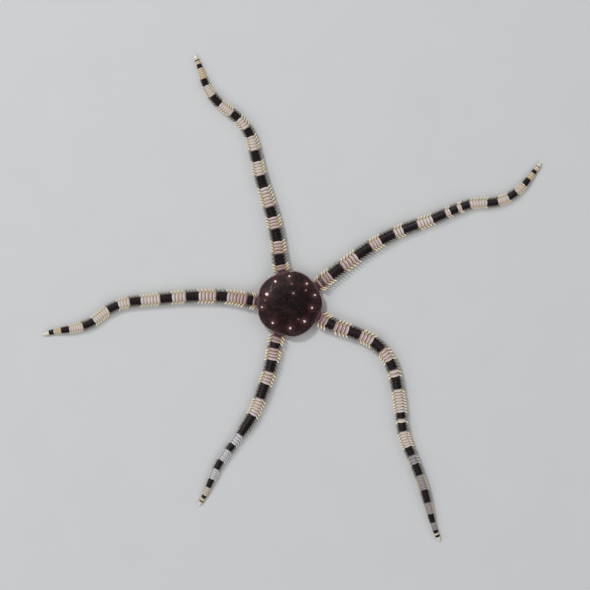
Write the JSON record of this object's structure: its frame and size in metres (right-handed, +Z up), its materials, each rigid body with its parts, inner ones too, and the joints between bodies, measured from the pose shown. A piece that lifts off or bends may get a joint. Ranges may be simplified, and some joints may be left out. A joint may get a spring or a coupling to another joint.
{
  "type": "brittle star",
  "caption": "Still, life-size brittle star lying on its underside: a round, smooth-skinned disc with long, dark and pale banded arms edged with short spines.",
  "frame": {"origin": "on the floor, under the middle of the outline's bounding box; the disc's middle is 0.75 mm to -X and 1.8 mm to -Y of it", "axes": "+Z up out of the animal's back; +Y towards the top of the picture and +X towards its right"},
  "size_m": [0.1517, 0.1478, 0.0056],
  "materials": {
    "disc_skin": "smooth, wet, very dark reddish-brown skin, faintly mottled, with a thin pale rim",
    "arm_plate": "fine calcite plates under thin skin, in charcoal and pinkish-white bands, with glassy cream spines",
    "jaw_bone": "cream calcite, satin",
    "shield_bone": "pinkish-brown calcite, satin"
  },
  "bodies": {
    "root": {"disc": "disc_skin", "arm_back_1": "arm_plate", "arm_back_2": "arm_plate", "arm_back_3": "arm_plate", "arm_back_4": "arm_plate", "arm_back_5": "arm_plate", "arm_right_1": "arm_plate", "arm_right_2": "arm_plate", "arm_right_3": "arm_plate", "arm_right_4": "arm_plate", "arm_right_5": "arm_plate", "arm_front_right_1": "arm_plate", "arm_front_right_2": "arm_plate", "arm_front_right_3": "arm_plate", "arm_front_right_4": "arm_plate", "arm_front_right_5": "arm_plate", "arm_front_left_1": "arm_plate", "arm_front_left_2": "arm_plate", "arm_front_left_3": "arm_plate", "arm_front_left_4": "arm_plate", "arm_left_1": "arm_plate", "arm_left_2": "arm_plate", "arm_left_3": "arm_plate", "arm_left_4": "arm_plate", "arm_left_5": "arm_plate", "jaw_1": "jaw_bone", "jaw_2": "jaw_bone", "jaw_3": "jaw_bone", "jaw_4": "jaw_bone", "jaw_5": "jaw_bone", "oral_shield_1": "shield_bone", "oral_shield_2": "shield_bone", "oral_shield_3": "shield_bone", "oral_shield_4": "shield_bone", "oral_shield_5": "shield_bone"}
  },
  "joints": []
}
